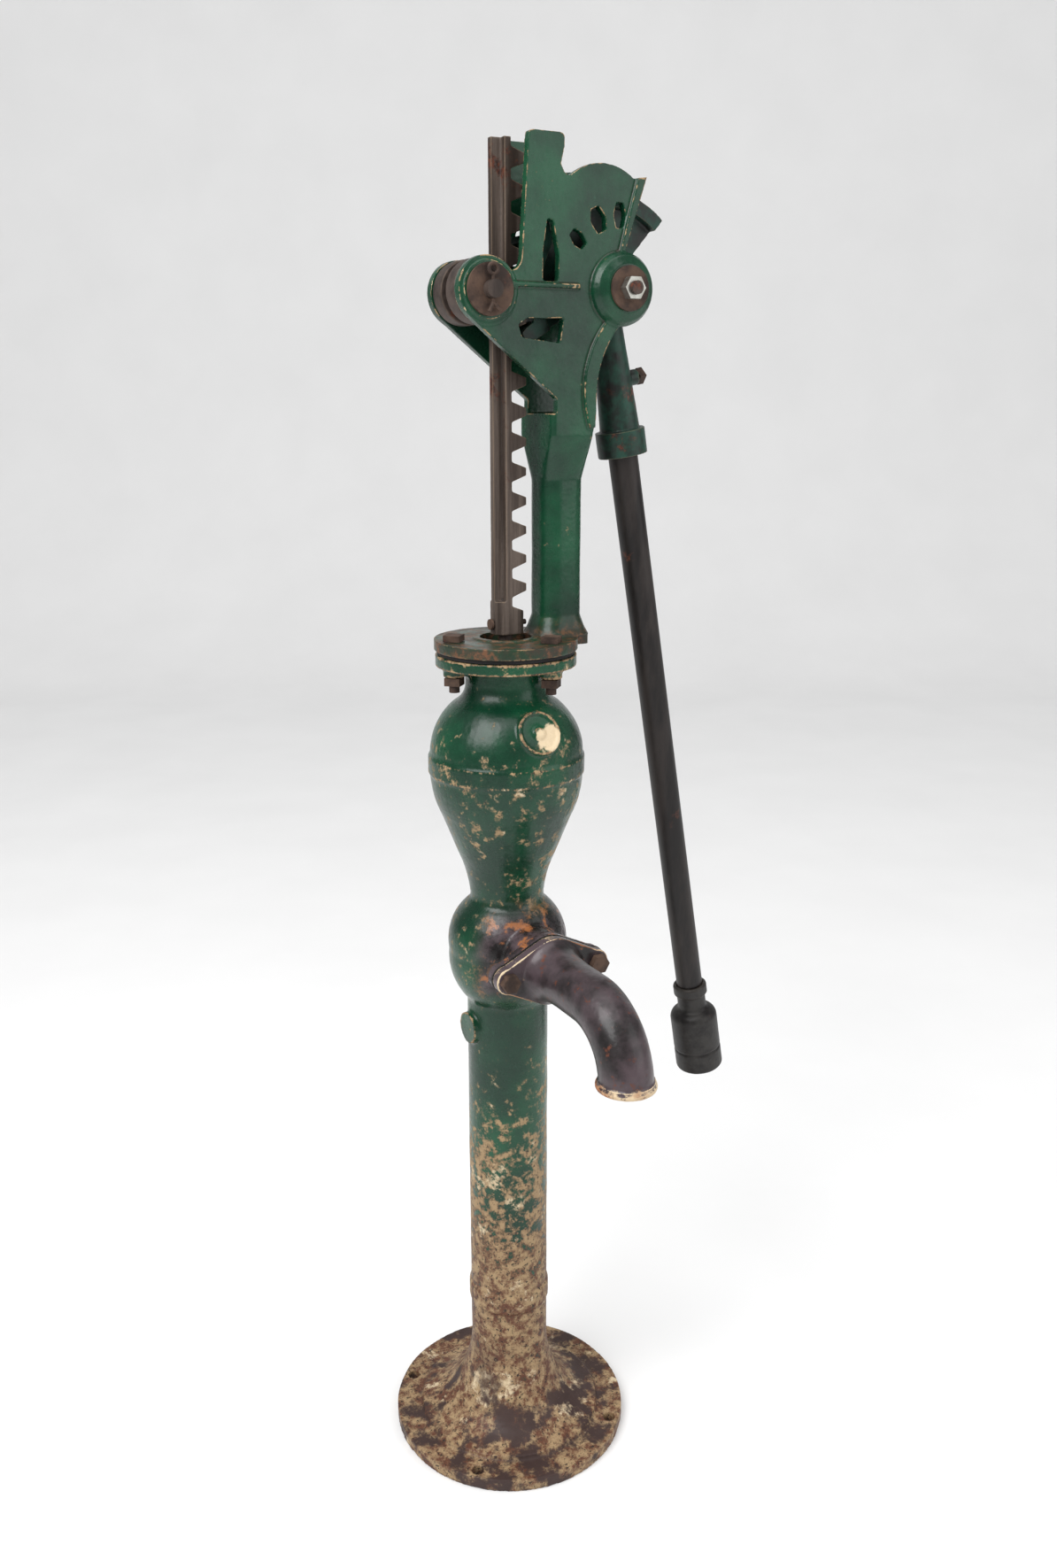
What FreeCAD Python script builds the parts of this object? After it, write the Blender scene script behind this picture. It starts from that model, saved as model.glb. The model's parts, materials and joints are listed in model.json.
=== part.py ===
import FreeCAD, Part
import math
import os
import re
import Sketcher
from FreeCAD import Placement, Rotation, Vector

# Hand well pump: a cast-iron pump stand with a rack-and-sector head.
# Millimetres.  The origin is the centre of the base flange's underside, +Z is up,
# +X points from the rack towards the lever, and the spout faces -Y.

os.makedirs("parts", exist_ok=True)
doc = FreeCAD.newDocument("hand_well_pump")
sheet = doc.addObject("Spreadsheet::Sheet", "dims")

# ---------------------------------------------------------------- driving dimensions

SIZES = {
    # pump stand: base flange and bell
    "base_radius": 150, "base_rim": 17, "base_bolt_circle": 273, "base_bolt_radius": 7,
    "bell_radius": 116, "bell_start": 22, "bell_waist": 62, "bell_waist_top": 65,
    "bell_sweep": 62, "bell_top": 120, "bell_neck_sweep": 170,
    "bell_mouth": 104, "bell_inside_top": 110, "bell_core_sweep": 100,
    # pump stand: column, its band, the spout chamber and the vase
    "stand_radius": 49.5, "band_low": 180, "band_high": 203, "band_proud": 2.2,
    "chamber_low": 604, "chamber_radius": 71, "chamber_mid": 666, "chamber_high": 729,
    "chamber_foot": 54, "chamber_sweep_low": 78, "chamber_sweep_high": 66,
    "throat_radius": 45, "throat_top": 742, "flank_radius": 58, "flank_low": 788,
    "flank_sweep": 150, "flank_out": 76, "flank_high": 834,
    "vase_radius": 89.3, "belt_low": 885, "belt_high": 909, "belt_proud": 2,
    "vase_sweep": 118, "shoulder_radius": 61, "shoulder_top": 969, "shoulder_sweep": 60,
    "collar_radius": 47.5, "collar_low": 990, "collar_sweep": 24,
    "wall": 9, "web_low": 146, "web_high": 190, "suction_radius": 21, "suction_length": 22,
    "valve_pocket": 17,
    "plug_radius": 20, "plug_level": 570, "plug_face": 56,
    "boss_radius": 26, "boss_level": 948, "boss_face": 80, "boss_tilt": 30,
    # flanges of the head joint
    "flange_radius": 82, "joint_low": 1011, "joint_face": 1025, "gasket_gap": 4,
    "head_flange": 13, "head_bolt_place": 63, "head_bolt_radius": 6, "head_bolt_turn": 55,
    "head_hole": 29, "lug_radius": 13, "lug_drop": 10,
    # spout
    "spout_level": 675, "spout_face": 99, "spout_gasket": 2, "spout_plate": 12,
    "spout_lug_place": 58, "spout_lug": 16, "spout_oval": 40, "spout_radius": 30,
    "spout_wall": 6, "spout_run": 93, "spout_bend": 71, "spout_lip": 3.5,
    "spout_bolt_radius": 6,
    # head casting
    "post_place": 65, "post_half": 26, "post_round": 20, "post_foot": 36, "post_foot_rise": 22,
    "post_neck": 1215, "fork_low": 1262, "fork_floor": 1286, "fork_half": 27,
    "cheek_out": 37.5, "cheek_in": 27.5,
    "pivot_place": 122, "pivot_level": 1413, "head_top": 1562,
    "bar_left": 9, "bar_left_low": 1, "bar_low": 1440, "bar_right": 52, "bar_waist": 48,
    "fan_foot": 1522, "fan_left": 58, "fan_right": 136, "fan_sweep": 62,
    "tip_place": 151, "tip_level": 1526, "edge_right": 126, "edge_low": 1452,
    "hub_radius": 31, "arm_root": 44, "arm_root_level": 1300,
    "dome_low": 39, "dome_high": 25, "dome_face": 54,
    "roller_level": 1408, "arm_boss": 34,
    # rack and sector
    "module_size": 10, "sector_teeth": 22, "tooth_out": 8, "tooth_in": 9.5,
    "press_angle": 20, "backlash": 1.2, "rack_gaps": 16, "sector_gaps": 8,
    "gaps_below_pivot": 10.5,
    "rack_half": 13, "rack_back": 8, "rib_half": 4, "rib_deep": 11, "rack_foot": 1046,
    "rack_foot_top": 1084, "rack_top": 1558,
    "sector_half": 16, "sector_rim": 16, "rim_first": 48, "web_half": 6, "sector_hub": 30,
    # lever
    "lever_angle": 10, "pivot_radius": 12, "socket_top": 17, "socket_end": 23,
    "collar_out": 28.5, "collar_from": 148, "collar_to": 177, "pipe_radius": 16.85,
    "pipe_wall": 3.4, "pipe_from": 78, "pipe_to": 905,
    "screw_place": 95, "screw_lug": 9, "screw_radius": 5,
    "knob_ring": 22.2, "knob_neck": 18.8,
    "knob_radius": 31, "knob_from": 868, "knob_shoulder": 905, "knob_end": 993,
    # roller
    "roller_radius": 33, "groove_half": 5, "groove_deep": 12, "roller_pin": 9,
    "rod_pin": 3,
    # pumping parts inside the stand
    "liner_radius": 38, "liner_bore": 34, "liner_low": 200, "liner_high": 585,
    "rod_radius": 8, "piston_level": 500, "piston_plate": 12, "ball_radius": 16,
    "ball_seat": 13, "piston_neck": 20, "cage_high": 590, "valve_lift": 8,
    "seat_guide": 5, "port_radius": 4.5, "port_place": 11.5, "poppet_radius": 20,
    "slip": 0.05,
}
for row, (alias, number) in enumerate(SIZES.items(), start=1):
    sheet.set("A%d" % row, alias)
    sheet.set("B%d" % row, str(number))
    sheet.setAlias("B%d" % row, alias)

# sizes that follow from the driving ones
DERIVED = {
    "tooth_pitch": "=pi * module_size",
    "tooth_angle": "=360 / sector_teeth",
    "sector_radius": "=module_size * sector_teeth / 2",
    "rack_face": "=pivot_place - sector_radius - tooth_in",
    "rack_tip": "=pivot_place - sector_radius + tooth_out",
    "roller_place": "=rack_face - rack_back - slip - roller_radius",
    "teeth_first": "=180 - 6.5 * tooth_angle - 5",
    "teeth_last": "=180 + 1.5 * tooth_angle + 5",
    "ball_height": "=sqrt(ball_radius ^ 2 - ball_seat ^ 2)",
}
for row, (alias, formula) in enumerate(DERIVED.items(), start=len(SIZES) + 1):
    sheet.set("A%d" % row, alias)
    sheet.set("B%d" % row, formula)
    sheet.setAlias("B%d" % row, alias)
ALIASES = set(SIZES) | set(DERIVED)
doc.recompute()

WORD = re.compile(r"[a-z]+(?:_[a-z]+)+|slip|wall|backlash")


def full(text):
    """Turn plain size names into references to the sheet."""
    return WORD.sub(lambda found: "dims." + found.group(0) if found.group(0) in ALIASES
                    else found.group(0), str(text))


def value(text):
    """The number that an expression over the sheet gives."""
    answer = sheet.evalExpression(full(text))
    return float(getattr(answer, "Value", answer))


def bind(item, **links):
    """Bind properties of a document object to expressions over the sheet."""
    for name, text in links.items():
        item.setExpression(name.replace("__", "."), full(text))


# ---------------------------------------------------------------- sketch and feature helpers

def new_body(label):
    body = doc.addObject("PartDesign::Body", label)
    body.Label = label
    return body


def origin_of(body, role):
    return next(item for item in body.Origin.OriginFeatures if item.Role == role)


def new_sketch(body, role, height="0"):
    """A sketch on an origin plane of its body, raised along the plane's normal."""
    sketch = body.newObject("Sketcher::SketchObject", body.Label + "_sketch")
    sketch.AttachmentSupport = [(origin_of(body, role), "")]
    sketch.MapMode = "FlatFace"
    bind(sketch, AttachmentOffset__Base__z=height)
    return sketch


def arc_between(start, end, radius):
    """The minor arc from start to end; a negative radius bends the other way."""
    chord = end - start
    side = Vector(-chord.y, chord.x, 0).normalize()
    rise = math.sqrt(max(radius ** 2 - (chord.Length / 2) ** 2, 0))
    centre = (start + end) / 2 + side * math.copysign(rise, radius)
    first, last = (start, end) if radius > 0 else (end, start)
    angles = [math.atan2(spot.y - centre.y, spot.x - centre.x) for spot in (first, last)]
    circle = Part.Circle(centre, Vector(0, 0, 1), abs(radius))
    return Part.ArcOfCircle(circle, angles[0], angles[1])


def draw_outline(sketch, steps):
    """A closed outline.  Each step is (x, y) or (x, y, radius of the arc leading on)."""
    corners = [Vector(value(step[0]), value(step[1]), 0) for step in steps]
    limits = []
    ends = []
    first_geometry = sketch.GeometryCount
    for index, step in enumerate(steps):
        start = corners[index]
        end = corners[(index + 1) % len(corners)]
        if len(step) == 3:
            radius = value(step[2])
            sketch.addGeometry(arc_between(start, end, radius), False)
            ends.append((1, 2) if radius > 0 else (2, 1))
        else:
            sketch.addGeometry(Part.LineSegment(start, end), False)
            ends.append((1, 2))
    for index, step in enumerate(steps):
        this = first_geometry + index
        following = first_geometry + (index + 1) % len(steps)
        begin, finish = ends[index]
        limits.append((Sketcher.Constraint("Coincident", this, finish, following,
                                           ends[(index + 1) % len(steps)][0]), None))
        for axis, text in (("DistanceX", step[0]), ("DistanceY", step[1])):
            limits.append((Sketcher.Constraint(axis, -1, 1, this, begin, value(text)), text))
        if len(step) == 3:
            size = abs(value(step[2]))
            limits.append((Sketcher.Constraint("Radius", this, size), "abs(%s)" % step[2]))
    add_limits(sketch, limits)


def draw_circle(sketch, across, up, radius):
    number = sketch.addGeometry(
        Part.Circle(Vector(value(across), value(up), 0), Vector(0, 0, 1), value(radius)), False)
    add_limits(sketch, [
        (Sketcher.Constraint("DistanceX", -1, 1, number, 3, value(across)), across),
        (Sketcher.Constraint("DistanceY", -1, 1, number, 3, value(up)), up),
        (Sketcher.Constraint("Radius", number, value(radius)), radius)])


def add_limits(sketch, limits):
    """Add constraints, binding each one that has an expression to the sheet."""
    first = sketch.ConstraintCount
    sketch.addConstraint([item[0] for item in limits])
    for index, (_, text) in enumerate(limits):
        if text is not None:
            sketch.setExpression("Constraints[%d]" % (first + index), full(text))


def rounded_steps(left, right, low, high, radius):
    """The steps of a rectangle with rounded corners."""
    return [
        ("(%s)+(%s)" % (left, radius), low), ("(%s)-(%s)" % (right, radius), low, radius),
        (right, "(%s)+(%s)" % (low, radius)), (right, "(%s)-(%s)" % (high, radius), radius),
        ("(%s)-(%s)" % (right, radius), high), ("(%s)+(%s)" % (left, radius), high, radius),
        (left, "(%s)-(%s)" % (high, radius)), (left, "(%s)+(%s)" % (low, radius), radius)]


def feature(body, kind, sketch, **links):
    item = body.newObject("PartDesign::" + kind, body.Label + "_" + kind.lower())
    item.Profile = sketch
    bind(item, **links)
    return item


def pad(body, sketch, length, middle=False, flip=False):
    item = feature(body, "Pad", sketch, Length=length)
    item.Midplane = middle
    item.Reversed = flip
    return item


def pocket(body, sketch, length, middle=False, flip=False):
    """A pocket that must remove material."""
    doc.recompute()
    before = body.Shape.Volume
    item = feature(body, "Pocket", sketch, Length=length)
    item.Midplane = middle
    item.Reversed = flip
    doc.recompute()
    assert body.Shape.Volume < before - 1, body.Label + ": a pocket cut nothing"
    return item


def spin(body, sketch, kind="Revolution"):
    """Turn a sketch on the XZ plane about the body's Z axis."""
    item = feature(body, kind, sketch)
    item.ReferenceAxis = (sketch, ["V_Axis"])
    item.Angle = 360
    return item


def turned_part(label, steps):
    """A body turned from one outline of (radius, height) steps."""
    body = new_body(label)
    sketch = new_sketch(body, "XZ_Plane")
    draw_outline(sketch, steps)
    spin(body, sketch)
    return body


def ring_steps(inner, outer, low, high):
    return [(inner, low), (outer, low), (outer, high), (inner, high)]


def place(item, across="0", depth="0", height="0"):
    bind(item, Placement__Base__x=across, Placement__Base__y=depth, Placement__Base__z=height)


# ---------------------------------------------------------------- primitive helpers

AXES = {"Z": Rotation(), "X": Rotation(Vector(0, 1, 0), 90), "Y": Rotation(Vector(1, 0, 0), 90)}


def cylinder(name, radius, height, spot, axis="Z"):
    item = doc.addObject("Part::Cylinder", name)
    bind(item, Radius=radius, Height=height)
    item.Placement = Placement(Vector(), AXES[axis])
    place(item, *spot)
    return item


def prism(name, flats, height, spot, axis="Z", sides=6):
    """A prism given by its distance across flats."""
    item = doc.addObject("Part::Prism", name)
    item.Polygon = sides
    bind(item, Circumradius="(%s) / (2 * cos(180 / %d))" % (flats, sides), Height=height)
    item.Placement = Placement(Vector(), AXES[axis])
    place(item, *spot)
    return item


def fuse(name, *items):
    item = doc.addObject("Part::MultiFuse", name)
    item.Shapes = list(items)
    item.Label = name
    return item


def cut(name, base, tool):
    item = doc.addObject("Part::Cut", name)
    item.Base = base
    item.Tool = tool
    item.Label = name
    return item


def group(name, items):
    item = doc.addObject("Part::Compound", name)
    item.Links = items
    item.Label = name
    return item


# ---------------------------------------------------------------- pump stand

def make_pump_stand():
    """Base flange, bell, column, spout chamber and vase, cast in one and cored hollow."""
    body = new_body("pump_stand")
    outline = new_sketch(body, "XZ_Plane")
    draw_outline(outline, [
        ("bell_mouth", "0"), ("base_radius", "0"), ("base_radius", "base_rim"),
        ("bell_radius", "base_rim"), ("bell_radius", "bell_start", "-bell_sweep"),
        ("bell_waist", "bell_waist_top", "-bell_neck_sweep"), ("stand_radius", "bell_top"),
        ("stand_radius", "band_low"), ("stand_radius + band_proud", "band_low"),
        ("stand_radius + band_proud", "band_high"), ("stand_radius", "band_high"),
        ("stand_radius", "chamber_low - 8", "-14"),
        ("chamber_foot", "chamber_low + 5", "chamber_sweep_low"),
        ("chamber_radius", "chamber_mid", "chamber_sweep_high"),
        ("throat_radius + 1", "chamber_high", "-18"),
        ("throat_radius", "throat_top", "-flank_sweep"),
        ("flank_radius", "flank_low"), ("flank_out", "flank_high", "vase_sweep"),
        ("vase_radius", "belt_low"), ("vase_radius + belt_proud", "belt_low + 2"),
        ("vase_radius + belt_proud", "belt_high - 2"),
        ("vase_radius", "belt_high", "shoulder_sweep + 20"),
        ("shoulder_radius", "shoulder_top", "-collar_sweep"), ("collar_radius", "collar_low"),
        ("collar_radius", "joint_low"), ("flange_radius - 1", "joint_low"),
        ("flange_radius - 1", "joint_face"), ("collar_radius - wall", "joint_face"),
        ("collar_radius - wall", "collar_low"), ("shoulder_radius - wall", "shoulder_top - 8"),
        ("vase_radius - wall", "belt_high - 8"), ("vase_radius - wall", "belt_low"),
        ("flank_radius - wall", "flank_low + 2"), ("throat_radius - wall", "throat_top + 4"),
        ("throat_radius - wall", "chamber_high - 6"), ("chamber_radius - wall", "chamber_mid"),
        ("liner_radius + slip", "chamber_low + 6"), ("liner_radius + slip", "web_high"),
        ("valve_pocket", "web_high"), ("valve_pocket", "web_low + suction_length"),
        ("suction_radius", "web_low + suction_length"), ("suction_radius", "web_low"),
        ("stand_radius - wall", "web_low"),
        ("stand_radius - wall", "bell_inside_top", "bell_core_sweep"),
        ("bell_mouth - 6", "bell_start - 10")])
    spin(body, outline)

    spout_seat = new_sketch(body, "XZ_Plane", "chamber_mid / 16")
    draw_circle(spout_seat, "0", "spout_level", "spout_oval - 1")
    pad(body, spout_seat, "spout_face - chamber_mid / 16")
    ear_sketch = new_sketch(body, "XZ_Plane", "spout_face - spout_plate")
    draw_outline(ear_sketch, oval_steps())
    pad(body, ear_sketch, "spout_plate")
    waterway = new_sketch(body, "XZ_Plane")
    draw_circle(waterway, "0", "spout_level", "spout_radius - spout_wall")
    pocket(body, waterway, "spout_face", flip=True)

    lugs = new_sketch(body, "XY_Plane", "joint_low - lug_drop")
    draw_circle(lugs, bolt_x(0), bolt_y(0), "lug_radius")
    lug_pad = pad(body, lugs, "lug_drop")
    turn_about_axis(body, [lug_pad], 3)
    flange_hole = new_sketch(body, "XY_Plane", "joint_low - lug_drop")
    draw_circle(flange_hole, bolt_x(0), bolt_y(0), "head_bolt_radius + 0.5")
    hole = pocket(body, flange_hole, "lug_drop + joint_face - joint_low", flip=True)
    turn_about_axis(body, [hole], 3)

    foot_hole = new_sketch(body, "XY_Plane")
    draw_circle(foot_hole, "base_bolt_circle / 2 * cos(45)", "base_bolt_circle / 2 * sin(45)",
                "base_bolt_radius")
    foot = pocket(body, foot_hole, "base_rim", flip=True)
    turn_about_axis(body, [foot], 4)

    for side in ("-", ""):
        ear_hole = new_sketch(body, "XZ_Plane", "spout_face - spout_plate")
        draw_circle(ear_hole, side + "spout_lug_place", "spout_level", "spout_bolt_radius + 0.5")
        pocket(body, ear_hole, "spout_plate", flip=True)

    for radius, rise in (("boss_radius", "0"), ("boss_radius - 4", "-2"), ("7", "0")):
        boss = new_sketch(body, "XZ_Plane", "boss_face")
        boss.AttachmentOffset = Placement(Vector(), Rotation(Vector(-1, 0, 0), 1))
        bind(boss, AttachmentOffset__Base__y="boss_level",
             AttachmentOffset__Base__z="boss_face", AttachmentOffset__Rotation__Angle="boss_tilt")
        draw_circle(boss, "0", "0", radius)
        if radius == "boss_radius - 4":
            pocket(body, boss, "2.5")
        else:
            pad(body, boss, "14", flip=True)
    side_plug = new_sketch(body, "YZ_Plane", "-plug_face")
    draw_circle(side_plug, "0", "plug_level", "plug_radius")
    pad(body, side_plug, "plug_face - liner_radius - 3")
    return body


def bolt_x(index):
    return "head_bolt_place * cos(head_bolt_turn + %d)" % (120 * index)


def bolt_y(index):
    return "head_bolt_place * sin(head_bolt_turn + %d)" % (120 * index)


def turn_about_axis(body, features, count):
    pattern = body.newObject("PartDesign::PolarPattern", body.Label + "_pattern")
    pattern.Originals = features
    pattern.Axis = (origin_of(body, "Z_Axis"), [""])
    pattern.Angle = 360
    pattern.Occurrences = count
    body.Tip = pattern
    doc.recompute()


def oval_steps():
    """The outline of the two-bolt spout flange: a disc run out to an ear each side."""
    return [
        ("-spout_lug_place", "spout_level - spout_lug"),
        ("-0.45 * spout_oval", "spout_level - 0.9 * spout_oval", "spout_oval"),
        ("0.45 * spout_oval", "spout_level - 0.9 * spout_oval"),
        ("spout_lug_place", "spout_level - spout_lug", "spout_lug + slip"),
        ("spout_lug_place", "spout_level + spout_lug"),
        ("0.45 * spout_oval", "spout_level + 0.9 * spout_oval", "spout_oval"),
        ("-0.45 * spout_oval", "spout_level + 0.9 * spout_oval"),
        ("-spout_lug_place", "spout_level + spout_lug", "spout_lug + slip")]


# ---------------------------------------------------------------- head casting

def make_head_casting():
    """Flange, post and forked head: two cheeks that carry the lever and the roller."""
    body = new_body("head_casting")
    low = "joint_face + gasket_gap"
    top = "joint_face + gasket_gap + head_flange"
    disc = new_sketch(body, "XY_Plane", low)
    draw_circle(disc, "0", "0", "flange_radius")
    pad(body, disc, "head_flange")
    tab = new_sketch(body, "XY_Plane", low)
    draw_outline(tab, rounded_steps("post_place", "post_place + 33", "-22", "22", "5"))
    pad(body, tab, "head_flange")
    raised = new_sketch(body, "XY_Plane", top)
    draw_circle(raised, "0", "0", "head_hole + 9")
    pad(body, raised, "2")

    sections = []
    for height, reach, across, rounding in (
            (top, "post_foot", "post_foot", "post_foot - 6"),
            (top + " + 0.35 * post_foot_rise", "post_half + 4", "post_half + 4", "post_round"),
            (top + " + post_foot_rise", "post_half", "post_half", "post_round"),
            ("post_neck", "post_half", "post_half", "post_round"),
            ("fork_low", "fork_half", "cheek_out", "6"),
            ("fork_floor", "fork_half", "cheek_out", "6")):
        section = new_sketch(body, "XY_Plane", height)
        draw_outline(section, rounded_steps(
            "post_place - (%s)" % reach, "post_place + %s" % reach,
            "-(%s)" % across, across, rounding))
        sections.append(section)
    post = body.newObject("PartDesign::AdditiveLoft", "head_casting_post")
    post.Profile = sections[0]
    post.Sections = sections[1:]
    post.Ruled = True

    cheeks = new_sketch(body, "XZ_Plane")
    draw_outline(cheeks, cheek_steps())
    pad(body, cheeks, "2 * cheek_out", middle=True)
    for across, radius, face in (("roller_place", "arm_boss", "cheek_out + 1.5"),
                                 ("pivot_place", "hub_radius", "cheek_out")):
        boss = new_sketch(body, "XZ_Plane")
        draw_circle(boss, across, level_of(across), radius)
        pad(body, boss, "2 * (%s)" % face, middle=True)
    for side in ("", "-"):
        dome = body.newObject("PartDesign::AdditiveLoft", "head_casting_dome")
        rings = []
        for face, radius in (("cheek_out - 2", "dome_low"), ("cheek_out + 5", "dome_low - 1"),
                             ("cheek_out + 11", "dome_low - 5"), ("dome_face - 2", "dome_high + 3"),
                             ("dome_face", "dome_high")):
            rings.append(new_sketch(body, "XZ_Plane", side + "(%s)" % face))
            draw_circle(rings[-1], "pivot_place", "pivot_level", radius)
        dome.Profile = rings[0]
        dome.Sections = rings[1:]
        dome.Ruled = True
    collar = new_sketch(body, "XZ_Plane")
    draw_circle(collar, "roller_place", "roller_level", "arm_boss - 5")
    pad(body, collar, "2 * (cheek_out + 3.5)", middle=True)

    for steps in window_steps():
        window = new_sketch(body, "XZ_Plane")
        draw_outline(window, steps)
        pocket(body, window, "2 * cheek_out + 20", middle=True)
    for steps in rib_steps():
        for side in ("cheek_out - 1", "-(cheek_out + 4)"):
            rib = new_sketch(body, "XZ_Plane", side)
            draw_outline(rib, steps)
            pad(body, rib, "5")

    slot = new_sketch(body, "XZ_Plane")
    draw_outline(slot, [
        ("roller_place - 60", "fork_floor"), ("tip_place + 40", "fork_floor"),
        ("tip_place + 40", "head_top + 10"), ("roller_place - 60", "head_top + 10")])
    pocket(body, slot, "2 * cheek_in", middle=True)
    for across, radius in (("pivot_place", "pivot_radius + slip"),
                           ("roller_place", "roller_pin + slip")):
        bore = new_sketch(body, "XZ_Plane")
        draw_circle(bore, across, level_of(across), radius)
        pocket(body, bore, "2 * dome_face + 2", middle=True)
    rack_way = new_sketch(body, "XY_Plane", low)
    draw_circle(rack_way, "0", "0", "head_hole")
    pocket(body, rack_way, "head_flange + 3", flip=True)
    for index in range(3):
        hole = new_sketch(body, "XY_Plane", low)
        draw_circle(hole, bolt_x(index), bolt_y(index), "head_bolt_radius + 0.5")
        pocket(body, hole, "head_flange", flip=True)
    return body


def level_of(across):
    return across.replace("place", "level")


def cheek_steps():
    """The cheek's side view: guide bar, toothed fan's guard, hub and roller arm."""
    return [
        ("arm_root", "fork_floor - 20"), ("post_place + fork_half - 1", "fork_floor - 20"),
        ("post_place + fork_half", "fork_floor + 12", "-110"),
        ("pivot_place + 4", "pivot_level - hub_radius"),
        ("pivot_place + hub_radius - 4", "pivot_level + 12"),
        ("edge_right", "edge_low"), ("tip_place", "tip_level"),
        ("fan_right", "tip_level - 2", "fan_sweep"),
        ("fan_left", "fan_foot"), ("bar_right", "fan_foot + 2"),
        ("bar_waist", "fan_foot + 10"), ("bar_right", "fan_foot + 26"),
        ("bar_right", "head_top - 5", "5.01"), ("bar_right - 5", "head_top"),
        ("bar_left + 5", "head_top", "5.01"), ("bar_left", "head_top - 5"),
        ("bar_left_low", "bar_low", "-14"), ("bar_left_low - 12", "bar_low - 12"),
        ("roller_place + 4", "roller_level + arm_boss", "arm_boss"),
        ("roller_place - 0.61 * arm_boss", "roller_level - 0.79 * arm_boss"),
        ("arm_root", "arm_root_level")]


def window_steps():
    """The openings in each cheek: one tall slot, three short ones and one low window."""
    tall = [
        ("bar_waist - 21", "pivot_level + 6"), ("bar_waist - 4", "pivot_level + 6"),
        ("bar_waist - 3", "pivot_level + 30"), ("bar_waist - 10", "pivot_level + 64"),
        ("bar_waist - 16", "pivot_level + 66"), ("bar_waist - 21", "pivot_level + 36")]
    low = [
        ("arm_root - 42", "pivot_level - 50"), ("arm_root + 3", "pivot_level - 55"),
        ("arm_root + 7", "pivot_level - 31"), ("arm_root - 36", "pivot_level - 32"),
        ("arm_root - 46", "pivot_level - 38")]
    short = []
    for turn, inner, outer, narrow, wide in ((138, 62, 82, 4, 7), (113, 62, 86, 5, 9),
                                              (92, 62, 86, 4, 7)):
        short.append([(spoke_x(turn, radius, aside), spoke_z(turn, radius, aside))
                      for radius, aside in ((inner, narrow), (0.5 * (inner + outer), wide),
                                            (outer, narrow), (outer, -narrow),
                                            (0.5 * (inner + outer), -wide), (inner, -narrow))])
    return [tall, low] + short


def spoke_x(turn, radius, aside):
    return "pivot_place + %s * cos(%s) + %s * sin(%s)" % (radius, turn, aside, turn)


def spoke_z(turn, radius, aside):
    return "pivot_level + %s * sin(%s) - %s * cos(%s)" % (radius, turn, aside, turn)


def rib_steps():
    """Raised ribs on each cheek: the arm's top rib, the right edge and the hub's sweep."""
    return [
        [("roller_place + 26", "pivot_level - 1"), ("pivot_place - 52", "pivot_level - 1"),
         ("pivot_place - 52", "pivot_level + 4"), ("roller_place + 26", "pivot_level + 4")],
        [("edge_right - 9", "edge_low - 6"), ("edge_right", "edge_low"),
         ("tip_place", "tip_level"), ("tip_place - 12", "tip_level - 1.5")],
        [("post_place + 18", "fork_floor - 16"), ("post_place + fork_half - 1", "fork_floor - 16"),
         ("post_place + fork_half", "fork_floor + 12", "-110"),
         ("pivot_place + 4", "pivot_level - hub_radius"),
         ("pivot_place - 12", "pivot_level - hub_radius + 6", "108")]]


# ---------------------------------------------------------------- rack and sector

def make_rack():
    """T-section rack: toothed face towards the sector, back rib in the roller's groove."""
    body = new_body("rack")
    section = new_sketch(body, "XY_Plane", "rack_foot_top")
    draw_outline(section, [
        ("rack_face - rack_back", "-rack_half"), ("rack_tip", "-rack_half"),
        ("rack_tip", "rack_half"), ("rack_face - rack_back", "rack_half"),
        ("rack_face - rack_back", "rib_half"), ("rack_face - rack_back - rib_deep", "rib_half"),
        ("rack_face - rack_back - rib_deep", "-rib_half"),
        ("rack_face - rack_back", "-rib_half")])
    pad(body, section, "rack_top - rack_foot_top")
    foot = new_sketch(body, "XY_Plane", "rack_foot")
    left, right, chop = "rack_face - rack_back - rib_deep", "rack_tip", "7"
    draw_outline(foot, [
        ("%s + %s" % (left, chop), "-rack_half"), ("%s - %s" % (right, chop), "-rack_half"),
        (right, "%s - rack_half" % chop), (right, "rack_half - %s" % chop),
        ("%s - %s" % (right, chop), "rack_half"), ("%s + %s" % (left, chop), "rack_half"),
        (left, "rack_half - %s" % chop), (left, "%s - rack_half" % chop)])
    pad(body, foot, "rack_foot_top - rack_foot")

    first = "pivot_level - gaps_below_pivot * tooth_pitch"
    pitch_half = "(tooth_pitch / 4 + backlash / 2)"
    near = "(%s - tooth_in * tan(press_angle))" % pitch_half
    far = "(%s + (tooth_out + 1) * tan(press_angle))" % pitch_half
    gap = new_sketch(body, "XZ_Plane")
    draw_outline(gap, [
        ("rack_face", "%s - %s" % (first, near)), ("rack_tip + 1", "%s - %s" % (first, far)),
        ("rack_tip + 1", "%s + %s" % (first, far)), ("rack_face", "%s + %s" % (first, near))])
    cutter = pocket(body, gap, "2 * rack_half + 2", middle=True)
    repeat = body.newObject("PartDesign::LinearPattern", "rack_teeth")
    repeat.Originals = [cutter]
    repeat.Direction = (origin_of(body, "Z_Axis"), [""])
    bind(repeat, Length="(rack_gaps - 1) * tooth_pitch", Occurrences="rack_gaps")
    body.Tip = repeat
    doc.recompute()

    rod_hole = new_sketch(body, "XY_Plane", "rack_foot")
    draw_circle(rod_hole, "0", "0", "rod_radius + slip")
    pocket(body, rod_hole, "rack_foot_top - rack_foot - 8", flip=True)
    pin_hole = new_sketch(body, "YZ_Plane", "-40")
    draw_circle(pin_hole, "0", "rack_foot + 12", "rod_pin + slip")
    pocket(body, pin_hole, "80", flip=True)
    return body


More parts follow.
